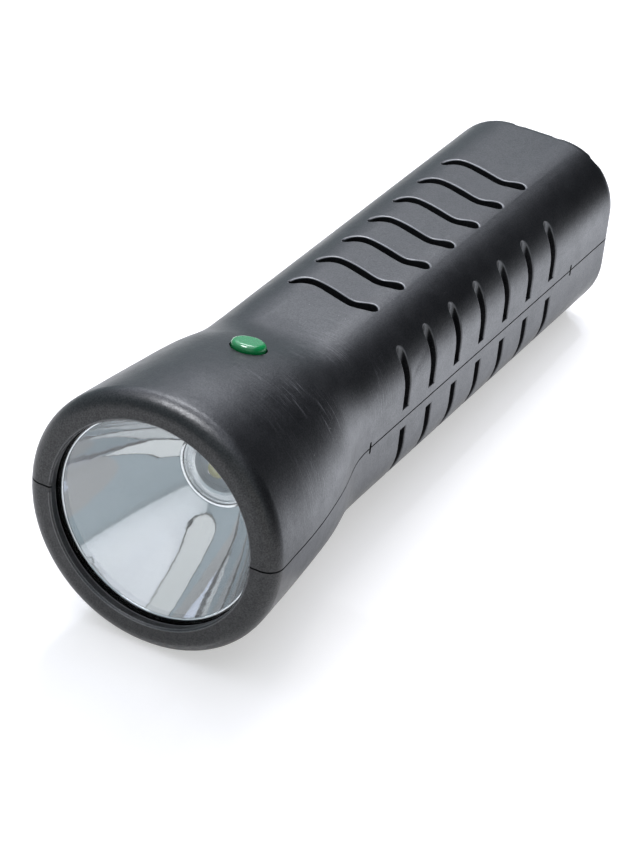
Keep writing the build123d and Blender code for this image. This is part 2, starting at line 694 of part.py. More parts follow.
def led_lead(sign):
    x = sign * 8.3
    return lead(
        [(x, row_y(36.0), BOARD_TOP), (x, row_y(36.0), 10.8), (x, row_y(24.9), 10.8),
         (x, row_y(24.9), 5.6), (x, row_y(REFLECTOR_END), 5.6)],
        1.5,
    )


def cell_lead(sign):
    x = sign * WIRE_HOLES[1][0]
    return lead(
        [(x, row_y(43.2), BOARD_TOP), (x, row_y(43.2), WIRE_HOLES[1][1]), (x, row_y(BULKHEAD_END), WIRE_HOLES[1][1])],
        1.8,
    )


# ---------------------------------------------------------------- screws that hold the shells
with BuildPart() as shell_screws:
    for x, back in SCREW_PLACES:
        with BuildSketch(Plane.XY.offset(SCREW_SEAT)):
            with Locations((x, row_y(back))):
                Circle(SCREW_HEAD_R)
        extrude(amount=-SCREW_HEAD_T)
        with BuildSketch(Plane.XY.offset(SCREW_SEAT)):
            with Locations((x, row_y(back))):
                Circle(SCREW_R)
        extrude(amount=SCREW_TIP - SCREW_SEAT)
        with BuildSketch(Plane.XY.offset(SCREW_SEAT - SCREW_HEAD_T)):
            with Locations((x, row_y(back))):
                Rectangle(2.9, 0.6)
                Rectangle(0.6, 2.9)
        extrude(amount=1.0, mode=Mode.SUBTRACT)

# ---------------------------------------------------------------- output
pieces = {
    "upper_shell": upper_shell, "lower_shell": lower_shell, "lens": lens, "lens_seal": lens_seal,
    "reflector": reflector, "led_collar": led_collar, "led_board": led_board, "heat_spreader": heat_spreader,
    "led_package": led_package, "led_phosphor": led_phosphor, "led_dome": led_dome, "led_screws": led_screws,
    "chassis": chassis, "driver_board": driver_board, "driver_screws": driver_screws,
    "driver_inductor": driver_inductor, "driver_capacitor": driver_capacitor, "driver_chip": driver_chip,
    "switch_body": switch_body, "switch_plunger": switch_plunger, "switch_spring": switch_spring,
    "button_cap": button_cap, "cell_terminals": cell_terminals, "bridge_plate": bridge_plate, "tail_pad": tail_pad,
    "contact_positive": contact_positive, "contact_negative": contact_negative,
    "led_wire_red": led_lead(1), "led_wire_black": led_lead(-1),
    "cell_wire_red": cell_lead(1), "cell_wire_black": cell_lead(-1), "shell_screws": shell_screws,
    **cell_parts,
}
for name, piece in pieces.items():
    piece.part.label = name
    export_step(piece.part, f"parts/{name}.step")
    print(f"{name:20s} {piece.part.volume:10.2f} mm3  solids {len(piece.part.solids())}  valid {piece.part.is_valid}")
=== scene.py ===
"""Looks for the hand torch: finishes, floor, studio light and the camera. Metres, in the part's own frame."""
import json
import math

import bmesh
import bpy
from mathutils import Matrix, Vector


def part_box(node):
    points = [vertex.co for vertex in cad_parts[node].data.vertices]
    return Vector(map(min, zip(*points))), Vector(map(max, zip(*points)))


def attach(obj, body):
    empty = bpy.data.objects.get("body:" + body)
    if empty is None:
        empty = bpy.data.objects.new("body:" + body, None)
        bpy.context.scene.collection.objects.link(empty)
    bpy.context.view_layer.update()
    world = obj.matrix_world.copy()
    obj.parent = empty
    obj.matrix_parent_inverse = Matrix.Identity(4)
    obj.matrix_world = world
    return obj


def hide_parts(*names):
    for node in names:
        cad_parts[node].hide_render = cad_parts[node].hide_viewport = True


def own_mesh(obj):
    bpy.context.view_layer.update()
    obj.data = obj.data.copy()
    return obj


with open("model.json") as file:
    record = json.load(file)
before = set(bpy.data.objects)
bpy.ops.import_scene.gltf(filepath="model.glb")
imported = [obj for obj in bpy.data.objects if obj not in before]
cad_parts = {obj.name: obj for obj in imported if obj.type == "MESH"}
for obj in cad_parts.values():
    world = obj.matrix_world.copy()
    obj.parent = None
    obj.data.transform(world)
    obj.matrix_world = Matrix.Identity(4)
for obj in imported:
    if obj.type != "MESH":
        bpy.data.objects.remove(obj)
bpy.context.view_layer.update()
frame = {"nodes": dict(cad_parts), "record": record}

scene = bpy.context.scene
nodes = frame["nodes"]
HALF = 0.0775  # half the torch's length: the front rim is at y = -HALF

# ------------------------------------------------------------------ camera
AZ, EL, ROLL = math.radians(25.946), math.radians(31.447), math.radians(6.41)
CX, CY, DIST = -30.426, -17.557, 570.719
back = Vector((math.sin(AZ) * math.cos(EL), -math.cos(AZ) * math.cos(EL), math.sin(EL)))
right = Vector((math.cos(AZ), math.sin(AZ), 0.0))
up = back.cross(right)
right2 = math.cos(ROLL) * right + math.sin(ROLL) * up
up2 = -math.sin(ROLL) * right + math.cos(ROLL) * up
place = (-CX * right2 - CY * up2 + DIST * back) / 1000 + Vector((0, -HALF, 0))
cam_data = bpy.data.cameras.new("camera")
cam_data.lens, cam_data.sensor_width = 3229.046 / 855 * 36, 36
cam_data.clip_start, cam_data.clip_end = 0.05, 20
camera = bpy.data.objects.new("camera", cam_data)
camera.matrix_world = Matrix((
    (right2.x, up2.x, back.x, place.x),
    (right2.y, up2.y, back.y, place.y),
    (right2.z, up2.z, back.z, place.z),
    (0, 0, 0, 1),
))
scene.collection.objects.link(camera)
scene.camera = camera

scene.view_settings.view_transform = "Standard"
scene.cycles.max_bounces = 16
scene.cycles.glossy_bounces = 8
scene.cycles.transmission_bounces = 12
scene.cycles.sample_clamp_indirect = 8
scene.cycles.caustics_reflective = True
scene.cycles.caustics_refractive = True


# ------------------------------------------------------------------ material helpers
class Mat:
    """A node material round one Principled shader, with short helpers for its procedural parts."""

    def __init__(self, name, **sockets):
        self.m = bpy.data.materials.new(name)
        self.m.use_nodes = True
        self.t = self.m.node_tree
        self.s = self.t.nodes["Principled BSDF"]
        for key, value in sockets.items():
            self.s.inputs[key.replace("_", " ")].default_value = value
        self.where = self.t.nodes.new("ShaderNodeTexCoord").outputs["Object"]
        self.last_bump = None

    def node(self, kind, **values):
        n = self.t.nodes.new(kind)
        for key, value in values.items():
            setattr(n, key, value)
        return n

    def link(self, a, b):
        self.t.links.new(a, b)

    def feed(self, socket, value):
        """Puts a number, a tuple or another node's output into a socket."""
        if isinstance(value, (int, float)):
            socket.default_value = value
        elif isinstance(value, tuple):
            socket.default_value = value if len(socket.default_value) == len(value) else (*value[:3], 1)
        else:
            self.link(value, socket)

    def stretched(self, scale, turn=(0, 0, 0), vector=None):
        n = self.node("ShaderNodeMapping")
        n.inputs["Scale"].default_value = scale
        n.inputs["Rotation"].default_value = turn
        self.link(vector or self.where, n.inputs["Vector"])
        return n.outputs["Vector"]

    def noise(self, scale, detail=3, rough=0.55, vector=None, distortion=0.0):
        n = self.node("ShaderNodeTexNoise")
        n.inputs["Scale"].default_value = scale
        n.inputs["Detail"].default_value = detail
        n.inputs["Roughness"].default_value = rough
        n.inputs["Distortion"].default_value = distortion
        self.link(vector or self.where, n.inputs["Vector"])
        return n.outputs["Fac"]

    def cells(self, scale, vector=None, randomness=1.0, feature="F1"):
        n = self.node("ShaderNodeTexVoronoi", feature=feature)
        n.inputs["Scale"].default_value = scale
        n.inputs["Randomness"].default_value = randomness
        self.link(vector or self.where, n.inputs["Vector"])
        return n.outputs["Distance"], n.outputs["Color"]

    def remap(self, value, lo, hi, to_lo, to_hi, smooth=False):
        n = self.node("ShaderNodeMapRange", interpolation_type="SMOOTHSTEP" if smooth else "LINEAR")
        for key, v in zip(("From Min", "From Max", "To Min", "To Max"), (lo, hi, to_lo, to_hi)):
            n.inputs[key].default_value = v
        self.link(value, n.inputs["Value"])
        return n.outputs["Result"]

    def math(self, op, a, b=0.0, c=0.0):
        n = self.node("ShaderNodeMath", operation=op)
        for i, v in enumerate((a, b, c)):
            self.feed(n.inputs[i], v)
        return n.outputs[0]

    def mix(self, factor, a, b):
        n = self.node("ShaderNodeMix", data_type="RGBA")
        self.feed(n.inputs[0], factor)
        self.feed(n.inputs[6], a)
        self.feed(n.inputs[7], b)
        return n.outputs[2]

    def split(self, vector=None):
        n = self.node("ShaderNodeSeparateXYZ")
        self.link(vector or self.where, n.inputs[0])
        return n.outputs

    def join(self, x, y, z):
        n = self.node("ShaderNodeCombineXYZ")
        for i, v in enumerate((x, y, z)):
            self.feed(n.inputs[i], v)
        return n.outputs[0]

    def bump(self, height, strength, distance):
        n = self.node("ShaderNodeBump")
        n.inputs["Strength"].default_value = strength
        n.inputs["Distance"].default_value = distance
        self.link(height, n.inputs["Height"])
        if self.last_bump is not None:
            self.link(self.last_bump, n.inputs["Normal"])
        self.last_bump = n.outputs["Normal"]
        self.link(n.outputs["Normal"], self.s.inputs["Normal"])

    def color(self, c):
        self.link(c, self.s.inputs["Base Color"])

    def rough(self, r):
        self.link(r, self.s.inputs["Roughness"])


def plain(name, color, roughness, grain=1500, bump=0.15, spread=0.06, tone=0.18, patch=120, **sockets):
    """A moulded or metal finish: slight tone and roughness variation and a fine surface texture."""
    m = Mat(name, **sockets)
    dark = tuple(c * (1 - tone) for c in color)
    m.color(m.mix(m.noise(patch, 4), dark, color))
    m.rough(m.remap(m.noise(340, 3), 0.3, 0.7, max(0.02, roughness - spread), min(1.0, roughness + spread)))
    m.bump(m.noise(grain, 2), bump, 0.00005)
    return m


def housing_finish():
    """Satin black moulded plastic: fine grain, faint rub marks round the neck, a little dust."""
    m = Mat("housing")
    m.s.inputs["IOR"].default_value = 1.5
    x, y, z = m.split()
    # position unrolled round the axis: along the arc, along the torch
    arc = m.math("MULTIPLY", m.math("ARCTAN2", x, z), 0.021)
    unrolled = m.join(arc, y, 0.0)
    # rub marks run round the body; most are on the shoulder behind the head
    lines = m.noise(1.0, 1, 0.5, m.stretched((170, 3800, 1), (0, 0, 0.12), unrolled), 0.0)
    lines2 = m.noise(1.0, 1, 0.5, m.stretched((120, 2600, 1), (0, 0, -0.2), unrolled), 0.0)
    fine = m.math("MAXIMUM", m.remap(lines, 0.61, 0.68, 0, 1), m.remap(lines2, 0.62, 0.69, 0, 0.8))
    where_y = m.math("MULTIPLY", m.remap(y, -0.070, -0.052, 0, 1, True), m.remap(y, -0.030, -0.012, 1, 0.12, True))
    where_arc = m.math("MULTIPLY", m.remap(arc, 0.001, 0.009, 0.12, 1, True), m.remap(arc, 0.026, 0.034, 1, 0.1, True))
    patches = m.remap(m.noise(85, 2), 0.42, 0.6, 0, 1)
    scratch = m.math("MULTIPLY", m.math("MULTIPLY", fine, patches), m.math("MULTIPLY", where_y, where_arc))
    # dust and tiny specks
    spot, shade = m.cells(620)
    pick = m.remap(m.split(shade)[0], 0.93, 0.935, 0, 1)
    dust = m.math("MULTIPLY", m.remap(spot, 0.035, 0.08, 1, 0), pick)
    base = m.mix(m.noise(70, 4), (0.0042, 0.0044, 0.0052), (0.0064, 0.0067, 0.0078))
    base = m.mix(m.math("MULTIPLY", scratch, 0.55), base, (0.085, 0.085, 0.09))
    # painted highlight: the lip in front of the lens gets a faint pale line painted along each edge, but not where the
    # shells meet
    rounded = m.node("ShaderNodeBevel", samples=6)
    rounded.inputs["Radius"].default_value = 0.00042
    facing = m.node("ShaderNodeNewGeometry").outputs["Normal"]
    agree = m.node("ShaderNodeVectorMath", operation="DOT_PRODUCT")
    m.link(rounded.outputs["Normal"], agree.inputs[0])
    m.link(facing, agree.inputs[1])
    high = m.math("ABSOLUTE", z)
    # mask for the painted highlight along the rounded edges of the lip in front of the lens
    painted_edge_highlight = m.remap(agree.outputs["Value"], 0.996, 0.93, 0, 0.42, True)
    painted_edge_highlight = m.math("MULTIPLY", painted_edge_highlight, m.math("MULTIPLY", m.remap(y, -0.0738, -0.0745, 0, 1), m.remap(high, 0.0009, 0.0013, 0, 1)))
    # and the rounded lips of the vents get pale colour painted on as a highlight
    nx, ny, nz = (m.math("ABSOLUTE", n) for n in m.split(facing))
    flat_side = m.math("GREATER_THAN", high, 0.0165)
    out = m.math("ADD", m.math("MULTIPLY", flat_side, nz), m.math("MULTIPLY", m.math("SUBTRACT", 1.0, flat_side), nx))
    lip = m.math("MULTIPLY", m.remap(out, 0.25, 0.5, 0, 1), m.remap(out, 0.97, 0.85, 0, 1))
    lip = m.math("MULTIPLY", lip, m.remap(ny, 0.12, 0.32, 0, 1))
    lip = m.math("MULTIPLY", lip, m.math("MULTIPLY", m.remap(y, -0.024, -0.020, 0, 1), m.remap(y, 0.068, 0.066, 0, 1)))
    lip = m.math("MULTIPLY", lip, m.math("ADD", 0.25, m.math("MULTIPLY", flat_side, 0.75)))
    painted_edge_highlight = m.math("MAXIMUM", painted_edge_highlight, m.math("MULTIPLY", lip, m.remap(m.noise(150, 2), 0.3, 0.6, 0.6, 1)))
    # pale grey painted along the rounded edges: a painted highlight
    base = m.mix(m.math("MULTIPLY", painted_edge_highlight, 0.85), base, (0.36, 0.36, 0.37))
    base = m.mix(m.math("MULTIPLY", dust, 0.5), base, (0.35, 0.34, 0.32))
    m.color(base)
    rough = m.remap(m.noise(260, 4, 0.6), 0.3, 0.7, 0.335, 0.405)
    rough = m.math("ADD", rough, m.remap(m.noise(28, 3), 0.35, 0.65, -0.02, 0.03))
    m.rough(m.math("ADD", rough, m.math("MULTIPLY", scratch, 0.12)))
    mottle = m.math("ADD", m.math("MULTIPLY", m.noise(3300, 2, 0.7), 0.85), m.math("MULTIPLY", m.noise(700, 2), 0.15))
    level = m.math("ADD", m.remap(mottle, 0.38, 0.62, 0.37, 0.645), m.math("ADD", m.math("MULTIPLY", scratch, 0.35), m.math("MULTIPLY", painted_edge_highlight, 0.3)))
    m.link(level, m.s.inputs["Specular IOR Level"])
    m.bump(m.noise(70, 3), 0.5, 0.00006)
    m.bump(m.noise(2100, 3, 0.6), 0.7, 0.00004)
    m.bump(scratch, 0.6, 0.00003)
    return m


def reflector_finish():
    """Vacuum-metallised plastic: a bright mirror with faint rings from the moulding, and specks of dust."""
    m = Mat("reflector_bright", Metallic=1.0)
    x, y, z = m.split()
    radius = m.math("SQRT", m.math("ADD", m.math("MULTIPLY", x, x), m.math("MULTIPLY", z, z)))
    around = m.math("ARCTAN2", x, z)
    rings = m.noise(1.0, 2, 0.5, m.join(m.math("MULTIPLY", radius, 900.0), m.math("MULTIPLY", around, 0.9), 0.0))
    broad = m.noise(55, 2)
    m.bump(rings, 0.5, 0.000010)
    # the wall runs a little straighter next to the neck than a true parabola
    near_neck = m.math("MAXIMUM", m.math("SUBTRACT", 0.0118, radius), 0.0)
    m.bump(m.math("MULTIPLY", m.math("MULTIPLY", near_neck, near_neck), -1.0), 1.0, 18.0)
    m.bump(broad, 0.26, 0.00003)
    spot, shade = m.cells(520)
    pick = m.remap(m.split(shade)[0], 0.972, 0.978, 0, 1)
    dust = m.math("MULTIPLY", m.remap(spot, 0.04, 0.085, 1, 0), pick)
    m.color(m.mix(dust, m.mix(m.noise(40, 2), (0.69, 0.705, 0.72), (0.74, 0.755, 0.77)), (0.40, 0.39, 0.37)))
    m.rough(m.math("ADD", m.remap(m.noise(300, 3), 0.3, 0.7, 0.025, 0.06), m.math("MULTIPLY", dust, 0.5)))
    return m


def lens_finish():
    """Clear moulded plastic, with the faintest unevenness."""
    m = Mat("lens_clear", Transmission_Weight=1.0, IOR=1.49)
    m.color(m.mix(m.noise(60, 2), (0.97, 0.985, 0.985), (0.985, 0.995, 0.995)))
    m.rough(m.remap(m.noise(150, 4), 0.35, 0.8, 0.0, 0.02))
    return m


def felt_finish():
    """Pale absorbent felt: tangled short fibres, no shine."""
    m = Mat("wick_felt", Sheen_Weight=0.35, Sheen_Roughness=0.6)
    fibres = m.math("ADD", m.noise(1.0, 2, 0.6, m.stretched((400, 2600, 900), (0.2, 0.4, 0.9))),
                    m.noise(1.0, 2, 0.6, m.stretched((2300, 500, 900), (0.5, 0.1, -0.4))))
    m.color(m.mix(m.remap(fibres, 0.7, 1.3, 0, 1), (0.40, 0.38, 0.33), (0.66, 0.64, 0.57)))
    m.rough(m.remap(m.noise(500, 2), 0.3, 0.7, 0.86, 0.98))
    m.bump(fibres, 0.9, 0.00012)
    return m


def foam_finish():
    """Dark open-cell foam."""
    m = Mat("pad_foam", Sheen_Weight=0.2, Sheen_Roughness=0.5)
    hole, _ = m.cells(1900)
    m.color(m.mix(m.remap(hole, 0.15, 0.6, 0, 1), (0.055, 0.055, 0.058), (0.014, 0.014, 0.015)))
    m.rough(m.remap(m.noise(400, 2), 0.3, 0.7, 0.88, 0.98))
    m.bump(hole, 0.9, 0.00015)
    return m


housing = housing_finish()
finishes = {
    "housing": housing,
    "lens_clear": lens_finish(),
    "reflector_bright": reflector_finish(),
    "seal_rubber": plain("seal_rubber", (0.02, 0.02, 0.021), 0.62, 1200, 0.3),
    "collar_white": plain("collar_white", (0.72, 0.75, 0.77), 0.24, 1800, 0.08, 0.05, 0.06, Metallic=0.75),
    # the LED board is white, but gets a dark blue-grey here: painted shade from its place deep inside the neck
    "led_board_white": plain("led_board_white", (0.36, 0.41, 0.44), 0.32, 900, 0.12, 0.05, 0.08, Metallic=0.6),
    "led_white": plain("led_white", (0.90, 0.90, 0.87), 0.3, 2500, 0.1, 0.05, 0.05),
    "phosphor_yellow": plain("phosphor_yellow", (0.86, 0.82, 0.34), 0.5, 3000, 0.3, 0.05, 0.2),
    "dome_clear": plain("dome_clear", (0.96, 0.97, 0.94), 0.06, 2000, 0.05, 0.03, 0.02, 120, Transmission_Weight=1.0, IOR=1.41),
    "aluminium_plate": plain("aluminium_plate", (0.62, 0.63, 0.64), 0.38, 700, 0.2, 0.07, 0.12, Metallic=1.0),
    "screw_steel": plain("screw_steel", (0.56, 0.57, 0.58), 0.30, 1400, 0.2, 0.08, 0.15, Metallic=1.0),
    "inner_plastic": plain("inner_plastic", (0.035, 0.036, 0.038), 0.48, 1300, 0.3),
    "board_green": plain("board_green", (0.018, 0.11, 0.045), 0.30, 900, 0.2, 0.05, 0.3),
    "ferrite": plain("ferrite", (0.055, 0.055, 0.058), 0.62, 1700, 0.5),
    "capacitor_can": plain("capacitor_can", (0.03, 0.04, 0.13), 0.28, 1500, 0.1, 0.05, 0.12, Coat_Weight=0.3),
    "chip_black": plain("chip_black", (0.018, 0.018, 0.019), 0.55, 2400, 0.4),
    "switch_black": plain("switch_black", (0.022, 0.022, 0.023), 0.45, 1500, 0.25),
    "spring_steel": plain("spring_steel", (0.60, 0.60, 0.61), 0.25, 1600, 0.2, 0.07, 0.12, Metallic=1.0),
    "contact_brass": plain("contact_brass", (0.66, 0.50, 0.22), 0.30, 1100, 0.2, 0.08, 0.18, Metallic=1.0),
    "wire_red": plain("wire_red", (0.45, 0.018, 0.018), 0.38, 1800, 0.15),
    "wire_black": plain("wire_black", (0.018, 0.018, 0.019), 0.40, 1800, 0.15),
    "cell_plastic": plain("cell_plastic", (0.028, 0.028, 0.030), 0.46, 1300, 0.3),
    "anode_metal": plain("anode_metal", (0.45, 0.46, 0.47), 0.52, 800, 0.35, 0.1, 0.22, Metallic=1.0),
    "cathode_carbon": plain("cathode_carbon", (0.022, 0.022, 0.023), 0.7, 1900, 0.6),
    "button_green": plain("button_green", (0.005, 0.235, 0.062), 0.24, 2600, 0.08, 0.04, 0.10, Coat_Weight=0.5, Coat_Roughness=0.09),
    "plunger_white": plain("plunger_white", (0.78, 0.78, 0.76), 0.4),
    "wick_felt": felt_finish(),
    "pad_foam": foam_finish(),
}
finish_of = {part["node"]: part["material_slot"] for part in frame["record"]["subparts"]}
for name, obj in nodes.items():
    obj.data.materials.clear()
    obj.data.materials.append(finishes.get(finish_of[name], finishes["housing"]).m)

# ------------------------------------------------------------------ soft pieces
def relaxed(node, width, amount, size):
    """Rounds a felt sheet's cut edges and gives its faces a soft uneven surface."""
    obj = nodes[node]
    bevel = obj.modifiers.new("edges", "BEVEL")
    bevel.width, bevel.segments, bevel.limit_method = width, 3, "ANGLE"
    soft_tex = bpy.data.textures.new(node + "_lie", "CLOUDS")
    soft_tex.noise_scale = size
    lie = obj.modifiers.new("lie", "DISPLACE")
    lie.texture, lie.texture_coords = soft_tex, "LOCAL"
    lie.strength, lie.mid_level = amount, 0.75


for node in ("wicks_left", "wicks_right"):
    relaxed(node, 0.0002, 0.00008, 0.004)

def rim_bead(radius=0.02012, depth=0.00398, thick=0.00026, around=288, section=14):
    """The bowl's front edge is rolled over into a thin bead that stands a little into the opening behind the lens."""
    bm = bmesh.new()
    rings = []
    for i in range(around):
        a = 2 * math.pi * i / around
        rings.append([bm.verts.new((
            (radius + thick * math.cos(b)) * math.sin(a),
            -HALF + depth + thick * math.sin(b),
            (radius + thick * math.cos(b)) * math.cos(a),
        )) for b in (2 * math.pi * j / section for j in range(section))])
    for i in range(around):
        p, q = rings[i], rings[(i + 1) % around]
        for j in range(section):
            k = (j + 1) % section
            bm.faces.new((p[j], q[j], q[k], p[k]))
    bmesh.ops.recalc_face_normals(bm, faces=bm.faces)
    mesh = bpy.data.meshes.new("rim_bead")
    bm.to_mesh(mesh)
    bm.free()
    for face in mesh.polygons:
        face.use_smooth = True
    obj = bpy.data.objects.new("rim_bead", mesh)
    obj.data.materials.append(finishes["reflector_bright"].m)
    scene.collection.objects.link(obj)
    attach(obj, "housing")


rim_bead()


def foam_pad():
    """The foam pad between the cells and the tail: full in the middle, pinched in at its cut edges, pressed flat where it touches."""
    lo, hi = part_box("tail_pad")
    half = [(q - p) / 2 for p, q in zip(lo, hi)]
    mid = [(p + q) / 2 for p, q in zip(lo, hi)]
    bm = bmesh.new()
    nx, nz, ny = 40, 56, 6
    rows = {}

    def point(i, j, k):
        if (i, j, k) not in rows:
            u, w, v = 2 * i / nx - 1, 2 * j / nz - 1, 2 * k / ny - 1
            # rounded outline: pull the corners in
            cu, cw = abs(u) ** 12, abs(w) ** 12
            pull = 1 - 0.055 * cu * cw
            waist = 1 - 0.012 * (1 - v * v)
            edge = max(abs(u), abs(w))
            thin = 1 - 0.16 * max(0.0, (edge - 0.86) / 0.14) ** 2
            ripple = 0.010 * math.sin(7.3 * u + 2.1 * w) * math.sin(5.1 * w - 1.3 * u)
            rows[(i, j, k)] = bm.verts.new((
                mid[0] + half[0] * u * pull * waist,
                mid[1] + half[1] * v * (thin - 0.012 + ripple),
                mid[2] + half[2] * w * pull * waist,
            ))
        return rows[(i, j, k)]

    for i in range(nx):
        for j in range(nz):
            bm.faces.new((point(i, j, 0), point(i + 1, j, 0), point(i + 1, j + 1, 0), point(i, j + 1, 0)))
            bm.faces.new((point(i, j + 1, ny), point(i + 1, j + 1, ny), point(i + 1, j, ny), point(i, j, ny)))
    for k in range(ny):
        for i in range(nx):
            bm.faces.new((point(i + 1, 0, k), point(i, 0, k), point(i, 0, k + 1), point(i + 1, 0, k + 1)))
            bm.faces.new((point(i, nz, k), point(i + 1, nz, k), point(i + 1, nz, k + 1), point(i, nz, k + 1)))
        for j in range(nz):
            bm.faces.new((point(0, j, k), point(0, j + 1, k), point(0, j + 1, k + 1), point(0, j, k + 1)))
            bm.faces.new((point(nx, j + 1, k), point(nx, j, k), point(nx, j, k + 1), point(nx, j + 1, k + 1)))
    bmesh.ops.recalc_face_normals(bm, faces=bm.faces)
    mesh = bpy.data.meshes.new("foam_pad")
    bm.to_mesh(mesh)
    bm.free()
    for face in mesh.polygons:
        face.use_smooth = True
    obj = bpy.data.objects.new("foam_pad", mesh)
    obj.data.materials.append(finishes["pad_foam"].m)
    scene.collection.objects.link(obj)
    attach(obj, "housing")
    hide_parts("tail_pad")


foam_pad()


def return_spring():
    """The switch's spring, as a copy of its mesh carried by the housing."""
    coil = bpy.data.objects.new("return_spring", nodes["switch_spring"].data.copy())
    scene.collection.objects.link(coil)
    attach(coil, "housing")
    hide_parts("switch_spring")
    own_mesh(coil)


return_spring()

# ------------------------------------------------------------------ floor: glossy white, tilted so that the head and the tail both rest on it
SLOPE = math.atan2(-0.0190 + 0.0259, 0.0741 + 0.0738)
FLOOR_AT = Vector((0.0, -0.0738, -0.0259))


def flat_ring(name, inner, outer, steps=96):
    """A flat disc, or a ring round it, on the floor's plane and centred under the front rim."""
    mesh = bpy.data.meshes.new(name)
    bm = bmesh.new()
    rims = []
    for radius in ([inner] if inner else []) + [outer]:
        rims.append([bm.verts.new((radius * math.cos(a), radius * math.sin(a), 0.0))
                     for a in (2 * math.pi * i / steps for i in range(steps))])
    if inner:
        for i in range(steps):
            j = (i + 1) % steps
            bm.faces.new((rims[0][i], rims[1][i], rims[1][j], rims[0][j]))
    else:
        bm.faces.new(rims[0])
    bm.normal_update()
    bm.to_mesh(mesh)
    bm.free()
    obj = bpy.data.objects.new(name, mesh)
    obj.matrix_world = Matrix.Translation(FLOOR_AT) @ Matrix.Rotation(SLOPE, 4, "X")
    scene.collection.objects.link(obj)
    return obj


floor_mat = Mat("floor_white", IOR=1.45, Emission_Color=(1, 1, 1, 1), Emission_Strength=0.47)
floor_mat.color(floor_mat.mix(floor_mat.noise(3, 2), (0.68, 0.655, 0.63), (0.695, 0.67, 0.645)))
floor_mat.rough(floor_mat.remap(floor_mat.noise(9, 2), 0.3, 0.7, 0.11, 0.13))
FLOOR_NEAR = 0.33
floor = flat_ring("floor", 0, FLOOR_NEAR)
surround = flat_ring("floor_far", FLOOR_NEAR, 4.0)
surround.visible_glossy = False
for piece in (floor, surround):
    piece.data.materials.append(floor_mat.m)

# ------------------------------------------------------------------ light
def glow(name, radiance, tint=(1, 1, 1)):
    m = bpy.data.materials.new(name)
    m.use_nodes = True
    t = m.node_tree
    t.nodes.clear()
    e = t.nodes.new("ShaderNodeEmission")
    e.inputs["Color"].default_value = (*tint, 1)
    e.inputs["Strength"].default_value = radiance
    o = t.nodes.new("ShaderNodeOutputMaterial")
    t.links.new(e.outputs[0], o.inputs[0])
    return m, t, e, o


def panel(name, corners, material, glossy_only=False):
    mesh = bpy.data.meshes.new(name)
    mesh.from_pydata(corners, [], [tuple(range(len(corners)))])
    mesh.materials.append(material)
    obj = bpy.data.objects.new(name, mesh)
    scene.collection.objects.link(obj)
    obj.visible_camera = False
    if glossy_only:
        obj.visible_diffuse = obj.visible_shadow = False
    return obj


# one large soft panel overhead, brighter towards the tail
H = 0.80
OVER = [(-1.25, -0.88), (1.05, -0.68), (0.06, 1.23), (-0.16, 1.85), (-1.75, 1.9)]
soft, t, e, o = glow("overhead_soft", 1.0, (0.92, 0.97, 1.12))
where = t.nodes.new("ShaderNodeTexCoord").outputs["Object"]
sep = t.nodes.new("ShaderNodeSeparateXYZ")
t.links.new(where, sep.inputs[0])
grade = t.nodes.new("ShaderNodeMapRange")
for key, v in zip(("From Min", "From Max", "To Min", "To Max"), (-0.75 * H, 0.7 * H, 1.05, 2.3)):
    grade.inputs[key].default_value = v
t.links.new(sep.outputs["Y"], grade.inputs["Value"])
tail_off = t.nodes.new("ShaderNodeMapRange")
tail_off.interpolation_type = "SMOOTHSTEP"
for key, v in zip(("From Min", "From Max", "To Min", "To Max"), (0.98, 1.45, 1.0, 0.45)):
    tail_off.inputs[key].default_value = v
t.links.new(sep.outputs["Y"], tail_off.inputs["Value"])
product = t.nodes.new("ShaderNodeMath")
product.operation = "MULTIPLY"
t.links.new(grade.outputs["Result"], product.inputs[0])
t.links.new(tail_off.outputs["Result"], product.inputs[1])
t.links.new(product.outputs[0], e.inputs["Strength"])
panel("overhead", [(x * H, y * H, H) for x, y in OVER], soft)


# soft light from all over that only fills the floor and the matt surfaces
fill, *_ = glow("fill_soft", 0.5)
fill_panel = panel("fill", [(x * 1.2, y * 1.2, 1.1) for x, y in ((-1.2, -1.1), (1.6, -1.1), (1.6, 1.4), (-1.2, 1.4))], fill)
fill_panel.visible_glossy = False

# the bright core of the soft light, high behind the torch
key, *_ = glow("key_core", 13.5, (0.97, 0.99, 1.05))
panel("key", [(-0.50, 0.38, 0.785), (0.02, 0.38, 0.785), (-0.04, 0.74, 0.785), (-0.50, 0.74, 0.785)], key)

# a small bright lamp above and a little in front, which draws the thin lines along the rounded edges
edge, *_ = glow("edge_core", 30.0, (0.98, 0.99, 1.03))
panel("edge_lamp", [(-0.34, -0.42, 0.79), (0.06, -0.42, 0.79), (0.06, -0.16, 0.79), (-0.34, -0.16, 0.79)], edge, True)

# the lit table beside the grip, as the side of the housing sees it
strip, t, e, o = glow("table_glow", 1.0, (0.94, 0.975, 1.06))
sep = t.nodes.new("ShaderNodeSeparateXYZ")
t.links.new(t.nodes.new("ShaderNodeTexCoord").outputs["Object"], sep.inputs[0])
grade = t.nodes.new("ShaderNodeMapRange")
for key, v in zip(("From Min", "From Max", "To Min", "To Max"), (0.020, 0.040, 0.9, 2.75)):
    grade.inputs[key].default_value = v
t.links.new(sep.outputs["X"], grade.inputs["Value"])


def graded(tree, value, lo, hi, to_lo, to_hi):
    n = tree.nodes.new("ShaderNodeMapRange")
    n.interpolation_type = "SMOOTHSTEP"
    for key, v in zip(("From Min", "From Max", "To Min", "To Max"), (lo, hi, to_lo, to_hi)):
        n.inputs[key].default_value = v
    tree.links.new(value, n.inputs["Value"])
    return n.outputs["Result"]


def times(tree, a, b):
    n = tree.nodes.new("ShaderNodeMath")
    n.operation = "MULTIPLY"
    tree.links.new(a, n.inputs[0])
    tree.links.new(b, n.inputs[1])
    return n.outputs[0]
